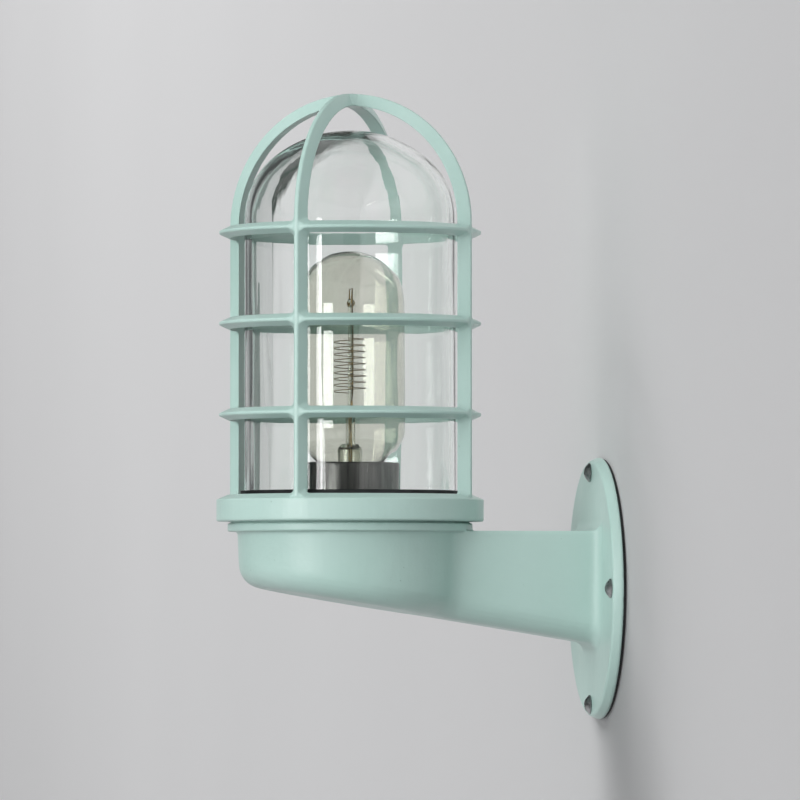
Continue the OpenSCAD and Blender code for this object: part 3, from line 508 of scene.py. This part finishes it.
def uneven(k, r, z, angle):
    if r < 1:
        return 0
    spot = Vector((3.2 * math.cos(angle), 3.2 * math.sin(angle), z * 0.008))
    broad = noise.noise(spot + Vector((4.1, 0, 0)))
    narrow = noise.noise(spot * 2.6 + Vector((0, 7.7, 0)))
    amount = 0.05 if k < outer_count else 0.2
    calm = 0.35 if z > GLASS_SPRING + 4 else 1
    return amount * calm * (broad + 0.5 * narrow) * min(1, r / 30)


jar = at_lantern(revolved("jar_shell", jar_outline, 192, uneven))
dressed(jar, "jar", "glass_jar", jar_glass, "glass_jar")

# Seal with its standing lip, and the gaskets, with the soft edges of moulded rubber
seal = at_lantern(revolved("seal_ring", rounded([
    (50.3, 39.3, 0.2), (FLANGE_R, 39.3, 0.4), (FLANGE_R, 40.7, 0.4), (51.7, 40.7, 0.3), (51.7, 46, 0.5),
    (50.3, 46, 0.5)]), 160))
dressed(seal, "seal", "guard_seal", rubber, "guard_seal")
foot_gasket = at_lantern(revolved("foot_gasket", rounded([
    (47.3, 33.3, 0.4), (FLANGE_R, 33.3, 0.4), (FLANGE_R, 34.9, 0.4), (47.3, 34.9, 0.4)]), 160))
dressed(foot_gasket, "fitting", "glass_gasket", grey_rubber, "glass_gasket")
grommet = revolved("grommet_ring", rounded([
    (4.2, 1.1, 0.8), (12.5, 1.1, 0.3), (12.5, 2.6, 0.4), (9.95, 2.6, 0.2), (9.95, 6, 0.2), (12.5, 6, 0.4),
    (12.5, 7.5, 0.6), (4.2, 7.5, 0.8)]), 64)
placed(grommet, Matrix.Rotation(math.radians(90), 4, "X"))
dressed(grommet, "fitting", "cable_grommet", rubber, "cable_grommet")

# Wall gasket: a cut rubber sheet with soft edges and its five holes
def punched(name, outline, holes, depth):
    sheet = revolved(name, rounded(outline, 3), 160)
    for x, y, radius in holes:
        punch = revolved("punch", [(0, -depth), (radius, -depth), (radius, 2 * depth), (0, 2 * depth)], 48)
        placed(punch, Matrix.Translation((x * MM, y * MM, 0)))
        cut = sheet.modifiers.new("hole", "BOOLEAN")
        cut.operation = "DIFFERENCE"
        cut.solver = "EXACT"
        cut.object = punch
        baked(sheet)
        bpy.data.objects.remove(punch)
    for polygon in sheet.data.polygons:
        polygon.use_smooth = abs(polygon.normal.z) < 0.9
    return sheet


quarters = [i * math.pi / 2 for i in range(4)]
sheet_holes = [(0, 0, 10)] + [
    (SCREW_CIRCLE_R * math.cos(a), SCREW_CIRCLE_R * math.sin(a), 2.7) for a in quarters]
sheet_side = [(0, 0, 0), (61.4, 0, 0.25), (61.4, 1, 0.25), (0, 1, 0)]
wall_sheet = punched("wall_sheet", sheet_side, sheet_holes, 2)
placed(wall_sheet, Matrix.Rotation(math.radians(90), 4, "X"))
dressed(wall_sheet, "fitting", "wall_gasket", rubber, "wall_gasket")

# Lampholder sleeve: a drawn cup with a rolled rim
sleeve = at_lantern(revolved("sleeve", rounded([
    (5.3, 14, 0.2), (23.1, 14, 1.1), (23.1, 59.4, 0.9), (19.9, 59.4, 0.4), (19.9, 58.2, 0.4),
    (21.9, 58.2, 0.3), (21.9, 15.2, 0.6), (5.3, 15.2, 0.2)]), 128))
dressed(sleeve, "fitting", "lampholder_shell", sleeve_steel, "lampholder_shell")

# Bulb: thin blown glass, screw cap, stem with its rod, and the wound filament
neck = 12.3
neck_top = CAP_TOP + 2.6
lower_r = 14
lower_x = BULB_R - lower_r
taper_x = lower_x + lower_r * math.cos(math.radians(45))
taper_z = neck_top + taper_x - neck
lower_z = taper_z + lower_r * math.sin(math.radians(45))
dome_z = BULB_TOP - BULB_R


def bulb_side(inset):
    bend = 6
    lift = math.tan(math.radians(22.5)) * inset
    side = rounded([
        (neck - inset, CAP_TOP - 3, 0), (neck - inset, neck_top + lift, bend),
        (taper_x - inset * 0.707, taper_z + inset * 0.707, 0), (0, 200, 0)])
    return (
        side[:-1] + arc(lower_x, lower_z, lower_r - inset, -45, 0, 10)[1:]
        + [(BULB_R - inset, lower_z + (dome_z - lower_z) * k / 12) for k in range(1, 12)]
        + arc(0, dome_z, BULB_R - inset, 0, 90, 24)
    )


def blown(k, r, z, angle):
    spot = Vector((1.6 * math.cos(angle), 1.6 * math.sin(angle), z * 0.02))
    return 0.05 * noise.noise(spot) * min(1, r / 10)


envelope = at_lantern(revolved("bulb_envelope", bulb_side(0) + list(reversed(bulb_side(0.6))), 144, blown))
dressed(envelope, "bulb", "bulb_glass", bulb_clear, "bulb_glass")

screw_cap = at_lantern(threaded("screw_cap", CAP_Z, CAP_TOP, 12.75, 13.1, 12.6, 3.63, 2.2, 96, 0.3, 0.8))
dressed(screw_cap, "bulb", "bulb_cap", cap_brass, "bulb_cap")

stem = cast_skin("stem_glass", "bulb_stem", 0.22 if fine else 0.4, 6, 0.5)
dressed(stem, "bulb", "bulb_stem", stem_clear, "bulb_stem")

FILAMENT_R = 7.4
TURNS = 9
PITCH = 2.9
FILAMENT_Z = HOOK_Z + 4
FILAMENT_TOP = FILAMENT_Z + TURNS * PITCH
FORK_X = 4.8
FORK_Z = ROD_TOP + 4.3
RETURN_X = 8.7


def span(a, b, steps=8):
    a, b = Vector(a), Vector(b)
    return [a + (b - a) * k / steps for k in range(1, steps + 1)]


winding = [Vector((-5.6, 0, HOOK_Z + 0.4))]
for i in range(TURNS * 36 + 1):
    angle = math.pi + 2 * math.pi * i / 36
    winding.append(Vector((
        FILAMENT_R * math.cos(angle), FILAMENT_R * math.sin(angle), FILAMENT_Z + i * PITCH / 36)))
left = (-FORK_X - 0.25, 0, FORK_Z + 0.45)
right = (FORK_X + 0.25, 0, FORK_Z + 0.45)
winding += span((-FILAMENT_R, 0, FILAMENT_TOP), left) + span(left, right)
winding += span(right, (RETURN_X, 0, FILAMENT_TOP))
winding += span((RETURN_X, 0, FILAMENT_TOP), (RETURN_X, 0, FILAMENT_Z))
winding += span((RETURN_X, 0, FILAMENT_Z), (5.6, 0, HOOK_Z + 0.4))
filament = at_lantern(tube("filament_wire", winding, 0.2))
dressed(filament, "bulb", "filament", tungsten, "filament")

spokes = []
for side in (-1, 1):
    spokes.append(tube("fork", curved([
        (side * 2, 0, ROD_TOP - 2), (side * 2.6, 0, ROD_TOP - 1.8), (side * FORK_X * 0.8, 0, ROD_TOP + 1.6),
        (side * FORK_X, 0, FORK_Z)], 6), 0.25))
for i in range(1, TURNS, 2):
    for turn in (0, 180):
        height = FILAMENT_Z + (i + 0.5 - turn / 360) * PITCH - 0.5
        spoke = tube("spoke", curved([
            (1.1, 0, height), (4, 0, height - 0.3), (7.65, 0, height + 0.1)], 5), 0.25)
        spokes.append(placed(spoke, Matrix.Rotation(math.radians(turn), 4, "Z")))
supports = at_lantern(joined("support_wires", spokes))
dressed(supports, "bulb", "filament_supports", nickel_wire, "filament_supports")


def lead(side, foot):
    return curved(foot + [
        (side * 2.9, 0, STEM_TOP - 3), (side * 2.9, 0, STEM_TOP + 15), (side * 5.6, 0, HOOK_Z - 2.2),
        (side * 5.6, 0, HOOK_Z)], 6)


leads = at_lantern(joined("lead_pair", [
    tube("lead", lead(-1, [(0, 0, TIP_Z + 1.65), (0, 0, CAP_Z + 2.4)]), 0.35),
    tube("lead", lead(1, [(12.2, 0, 46.5), (3.7, 0, 49)]), 0.35)]))
dressed(leads, "bulb", "lead_wires", nickel_wire, "lead_wires")


# Wires in the bowl: the solids' own tubes with rounder sides
def rounder(name, node, sheath, grow=0.08):
    piece = bpy.data.objects.new(name, nodes[node].data.copy())
    bpy.context.scene.collection.objects.link(piece)
    piece.data.materials.clear()
    cleaned(piece, WELD)
    finer = piece.modifiers.new("finer", "SUBSURF")
    finer.levels = 2
    finer.render_levels = 2
    fuller = piece.modifiers.new("fuller", "DISPLACE")
    fuller.strength = grow * MM
    fuller.mid_level = 0
    baked(piece)
    return dressed(piece, "fitting", node, sheath, node)


rounder("live_lead", "live_wire", brown)
rounder("neutral_lead", "neutral_wire", blue)
rounder("earth_lead", "earth_wire", earth_sheath)


# Wall screws: pan heads with a cross recess, threaded shanks and points
def cross_screw(turn):
    head_r, head_h = 4.5, 2.9
    crown = (head_r * head_r + head_h * head_h) / (2 * head_h)
    top = math.degrees(math.asin((head_r - 0.55) / crown))
    outline = [(0, -6), (2.38, -6), (2.38, 0), (head_r - 0.35, 0), (head_r - 0.08, 0.12), (head_r, 0.4),
               (head_r - 0.05, 0.8)] + arc(0, head_h - crown, crown, 90 - top, 90, 12)
    head = revolved("head", outline + [(0, -6)], 48)
    blades = []
    for spin in (0, 90):
        low, high = 0.55, 2.15
        corners = [(-low, 1.0), (low, 1.0), (high, 3.6), (-high, 3.6)]
        points = [(x, y, z) for y in (-0.42, 0.42) for x, z in corners]
        faces = [(0, 1, 2, 3), (7, 6, 5, 4), (0, 4, 5, 1), (1, 5, 6, 2), (2, 6, 7, 3), (3, 7, 4, 0)]
        blade = cleaned(made("blade", points, faces, False))
        blades.append(placed(blade, Matrix.Rotation(math.radians(spin), 4, "Z")))
    for blade in blades:
        cut = head.modifiers.new("recess", "BOOLEAN")
        cut.operation = "DIFFERENCE"
        cut.solver = "EXACT"
        cut.object = blade
    baked(head)
    for polygon in head.data.polygons:
        polygon.use_smooth = polygon.normal.z > 0.25 and polygon.center.z > 0.0008 or polygon.center.z < 0
    for blade in blades:
        bpy.data.objects.remove(blade)
    shank = threaded("shank", -29, -6, 1.55, 2.1, 0.4, 1.5, 0.5, 32, 0.25, 1.4)
    for vertex in shank.data.vertices:
        share = min(1, (vertex.co.z + 0.034) / 0.010)
        if vertex.co.z < -0.024:
            vertex.co.x *= share
            vertex.co.y *= share
    point = cleaned(revolved("point", [(0, -34), (0.85, -29.2), (1.0, -28.9), (0, -28.9)], 32))
    whole = joined("screw", [head, shank, point])
    return placed(whole, Matrix.Rotation(turn, 4, "Z"))


screws = []
for angle, turn in zip(quarters, (0.5, 1.1, 0.2, 0.8)):
    spot = Matrix.Translation((
        SCREW_CIRCLE_R * MM * math.cos(angle), -6 * MM, SCREW_CIRCLE_R * MM * math.sin(angle)))
    screws.append(placed(cross_screw(turn), spot @ Matrix.Rotation(math.radians(90), 4, "X")))
wall_screws = joined("wall_screw_set", screws)
dressed(wall_screws, "fitting", "wall_screws", screw_steel, "wall_screws")

# Solids that stay as they are get their finish
finishes = {
    "lampholder_strap": zinc, "strap_screws": zinc, "lampholder_nipple": zinc,
    "nipple_washer": zinc, "nipple_nut": zinc, "lampholder_ceramic": porcelain, "screw_contact": brass,
    "centre_contact": brass, "terminal_block": ivory, "terminal_tubes": brass, "terminal_screws": zinc,
    "block_screws": zinc, "earth_lug": brass, "earth_screw": zinc, "bulb_insulator": dark_glass,
    "bulb_tip": solder,
}
for name, finish in finishes.items():
    for slot in nodes[name].material_slots:
        slot.material = finish

# Camera: at the photograph's angle, a little below the lantern's middle
azimuth, elevation, distance = math.radians(81.45), math.radians(-1.7), 3.104
aim = Vector((0.0041, -0.0978, 0.0889))
back = Vector((
    math.sin(azimuth) * math.cos(elevation), -math.cos(azimuth) * math.cos(elevation), math.sin(elevation)))
camera = bpy.data.objects.new("camera", bpy.data.cameras.new("camera"))
bpy.context.scene.collection.objects.link(camera)
camera.data.lens = 295.9
camera.data.sensor_width = 36
camera.data.clip_end = 100
camera.location = aim + distance * back
camera.rotation_mode = "QUATERNION"
camera.rotation_quaternion = (-back).to_track_quat("-Z", "Y")
bpy.context.scene.camera = camera


# Soft lamps: energy from radiance and area; only mirrored lamps are seen in metal and glass
def lamp(name, around, height, away, width, tall, radiance, mirrored=True):
    light = bpy.data.lights.new(name, "AREA")
    light.shape = "RECTANGLE"
    light.size = width
    light.size_y = tall
    light.energy = radiance * math.pi * width * tall
    thing = bpy.data.objects.new(name, light)
    bpy.context.scene.collection.objects.link(thing)
    angle = math.radians(around)
    target = Vector((0, -0.1, 0.08))
    thing.location = target + Vector((math.sin(angle) * away, -math.cos(angle) * away, height))
    thing.rotation_mode = "QUATERNION"
    thing.rotation_quaternion = (target - thing.location).to_track_quat("-Z", "Y")
    thing.visible_camera = False
    thing.visible_glossy = mirrored
    thing.visible_transmission = mirrored
    return thing


front_lamps = [
    lamp("key_lamp", 34, 0.06, 2.0, 0.62, 0.34, 9.5),
    lamp("broad_lamp", 36, 0.3, 2.2, 1.8, 1.5, 3.3, False),
    lamp("camera_lamp", 84, 0.2, 2.6, 1.6, 1.2, 1.7, False),
    lamp("top_lamp", 82, 1.8, 1.0, 1.2, 1.2, 2.8, False),
    lamp("far_lamp", -50, 1.1, 2.0, 2.2, 2.0, 1.7, False),
]
wall_lamp = lamp("wall_lamp", -45, 4.0, 3.0, 3.0, 3.0, 7.4, False)
glint_lamp = lamp("glint_lamp", 47, 0.06, 2.0, 0.26, 0.34, 10.0)


# What a background shows: its own look to the camera and in mirrors and glass, its plain light elsewhere
def seen_ray(tree):
    path = tree.nodes.new("ShaderNodeLightPath")
    both = []
    for kind in ("Is Glossy Ray", "Is Transmission Ray"):
        either = tree.nodes.new("ShaderNodeMath")
        either.operation = "MAXIMUM"
        earlier = both[-1].outputs["Value"] if both else path.outputs["Is Camera Ray"]
        tree.links.new(earlier, either.inputs[0])
        tree.links.new(path.outputs[kind], either.inputs[1])
        both.append(either)
    return both[-1].outputs["Value"], path.outputs["Is Camera Ray"]


world = bpy.data.worlds.new("studio")
bpy.context.scene.world = world
world.use_nodes = True
tree = world.node_tree
seen = tree.nodes["Background"]
fill = tree.nodes.new("ShaderNodeBackground")
fill.inputs["Color"].default_value = (0.46, 0.46, 0.46, 1)
towards = tree.nodes.new("ShaderNodeTexCoord")
facing = tree.nodes.new("ShaderNodeVectorMath")
facing.operation = "DOT_PRODUCT"
facing.inputs[1].default_value = (0.55, -0.6, 0.58)
tree.links.new(towards.outputs["Generated"], facing.inputs[0])
room = ramp(tree, level(tree, facing.outputs["Value"], 0, 1, -0.36, -0.12).outputs["Result"], [
    (0.0, colour(202, 202, 203)), (0.5, colour(110, 111, 112)), (1.0, colour(72, 74, 74))])
pale = tree.nodes.new("ShaderNodeMix")
pale.data_type = "RGBA"
pale.inputs["B"].default_value = colour(199, 199, 200)
either = tree.nodes.new("ShaderNodeMixShader")
seen_value, camera_value = seen_ray(tree)
tree.links.new(camera_value, pale.inputs["Factor"])
tree.links.new(room.outputs["Color"], pale.inputs["A"])
tree.links.new(pale.outputs["Result"], seen.inputs["Color"])
tree.links.new(seen_value, either.inputs["Fac"])
tree.links.new(fill.outputs["Background"], either.inputs[1])
tree.links.new(seen.outputs["Background"], either.inputs[2])
tree.links.new(either.outputs["Shader"], tree.nodes["World Output"].inputs["Surface"])

# Pale floor far below the light
FLOOR_Z = -600
floor_edge = [a * math.pi / 48 for a in range(96)]
floor = made("floor", [(5000 * math.cos(a), 5000 * math.sin(a), FLOOR_Z) for a in floor_edge],
             [tuple(range(96))])
floor_paint, floor_tree, floor_shader = material("pale_floor")
floor_tone = grain(floor_tree, 1.5, 2.0)
floor_shades = ramp(floor_tree, floor_tone.outputs["Fac"], [
    (0.3, colour(196, 196, 197)), (0.7, colour(202, 202, 203))])
floor_deep = floor_tree.nodes.new("ShaderNodeMix")
floor_deep.data_type = "RGBA"
floor_deep.inputs["A"].default_value = colour(128, 128, 129)
floor_tree.links.new(seen_ray(floor_tree)[0], floor_deep.inputs["Factor"])
floor_tree.links.new(floor_shades.outputs["Color"], floor_deep.inputs["B"])
floor_tree.links.new(floor_deep.outputs["Result"], floor_shader.inputs["Base Color"])
floor_shader.inputs["Roughness"].default_value = 0.9
floor.data.materials.append(floor_paint)

# Pale wall behind the light: open from behind, it takes the wall lamp's shadow and a little glow of its
# own. In mirrors and glass it glows brighter, a painted reflection, and above about half a metre it turns
# dark, a painted dark reflection on the rim of the jar's dome
WALL_Y = 0.3
wall = made("wall", [
    (-8000, WALL_Y, FLOOR_Z), (3500, WALL_Y, FLOOR_Z), (3500, WALL_Y, 3000), (-8000, WALL_Y, 3000)],
    [(0, 1, 2, 3)])
wall_paint, wall_tree, wall_shader = material("pale_wall")
wall_shader.inputs["Roughness"].default_value = 0.95
wall_shader.inputs["Specular IOR Level"].default_value = 0.1
wall_tone = grain(wall_tree, 1.2, 2.0)
wall_shades = ramp(wall_tree, wall_tone.outputs["Fac"], [
    (0.3, colour(226, 226, 227)), (0.7, colour(229, 229, 230))])
wall_tree.links.new(wall_shades.outputs["Color"], wall_shader.inputs["Base Color"])
wall_place = wall_tree.nodes.new("ShaderNodeTexCoord")
wall_axes = wall_tree.nodes.new("ShaderNodeSeparateXYZ")
wall_tree.links.new(wall_place.outputs["Object"], wall_axes.inputs["Vector"])
wall_seen, wall_camera = seen_ray(wall_tree)
wall_side = wall_tree.nodes.new("ShaderNodeNewGeometry")
wall_open = wall_tree.nodes.new("ShaderNodeBsdfTransparent")
# Painted reflection: the wall glows 0.02 to the camera but 0.13 where mirrors and glass show it
wall_glow_and_painted_reflection = wall_tree.nodes.new("ShaderNodeVectorMath")
wall_glow_and_painted_reflection.operation = "MULTIPLY_ADD"
wall_glow_and_painted_reflection.inputs[1].default_value = (0.11, 0.11, 0.11)
wall_glow_and_painted_reflection.inputs[2].default_value = (0.02, 0.02, 0.02)
wall_tree.links.new(wall_glow_and_painted_reflection.outputs["Vector"], wall_shader.inputs["Emission Color"])
wall_tree.links.new(wall_seen, wall_shader.inputs["Emission Strength"])
wall_mix = wall_tree.nodes.new("ShaderNodeMixShader")
# Painted dark reflection: in mirrors and glass the wall above about half a metre shows as this dark glow
wall_painted_dark_reflection = wall_tree.nodes.new("ShaderNodeEmission")
wall_painted_dark_reflection.inputs["Color"].default_value = (0.05, 0.055, 0.05, 1)
wall_height = level(wall_tree, wall_axes.outputs["Z"], 0, 1, 0.42, 0.56)
wall_mirrored = wall_tree.nodes.new("ShaderNodeMath")
wall_mirrored.operation = "SUBTRACT"
wall_tree.links.new(wall_seen, wall_mirrored.inputs[0])
wall_tree.links.new(wall_camera, wall_mirrored.inputs[1])
wall_tree.links.new(wall_mirrored.outputs["Value"], wall_glow_and_painted_reflection.inputs[0])
# Mask of the painted dark reflection: mirror and glass rays only, above the height ramp
dark_reflection_mask = wall_tree.nodes.new("ShaderNodeMath")
dark_reflection_mask.operation = "MULTIPLY"
wall_tree.links.new(wall_mirrored.outputs["Value"], dark_reflection_mask.inputs[0])
wall_tree.links.new(wall_height.outputs["Result"], dark_reflection_mask.inputs[1])
wall_with_dark_reflection = wall_tree.nodes.new("ShaderNodeMixShader")
wall_tree.links.new(dark_reflection_mask.outputs["Value"], wall_with_dark_reflection.inputs["Fac"])
wall_tree.links.new(wall_shader.outputs["BSDF"], wall_with_dark_reflection.inputs[1])
wall_tree.links.new(wall_painted_dark_reflection.outputs["Emission"], wall_with_dark_reflection.inputs[2])
wall_tree.links.new(wall_side.outputs["Backfacing"], wall_mix.inputs["Fac"])
wall_tree.links.new(wall_with_dark_reflection.outputs["Shader"], wall_mix.inputs[1])
wall_tree.links.new(wall_open.outputs["BSDF"], wall_mix.inputs[2])
wall_tree.links.new(wall_mix.outputs["Shader"], wall_tree.nodes["Material Output"].inputs["Surface"])
wall.data.materials.append(wall_paint)

# The front lamps pass the wall by, the wall lamp lights only the wall and the glint lamp only the jar
spared = bpy.data.collections.new("spared")
spared.objects.link(wall)
spared.collection_objects[0].light_linking.link_state = "EXCLUDE"
for thing in front_lamps:
    thing.light_linking.receiver_collection = spared
for thing, target in ((wall_lamp, wall), (glint_lamp, jar)):
    lit = bpy.data.collections.new("lit_" + target.name)
    lit.objects.link(target)
    thing.light_linking.receiver_collection = lit

# Light passes through the clear pieces to what is inside them
for thing in (jar, envelope, stem):
    thing.visible_shadow = False

bpy.context.scene.view_settings.view_transform = "Standard"
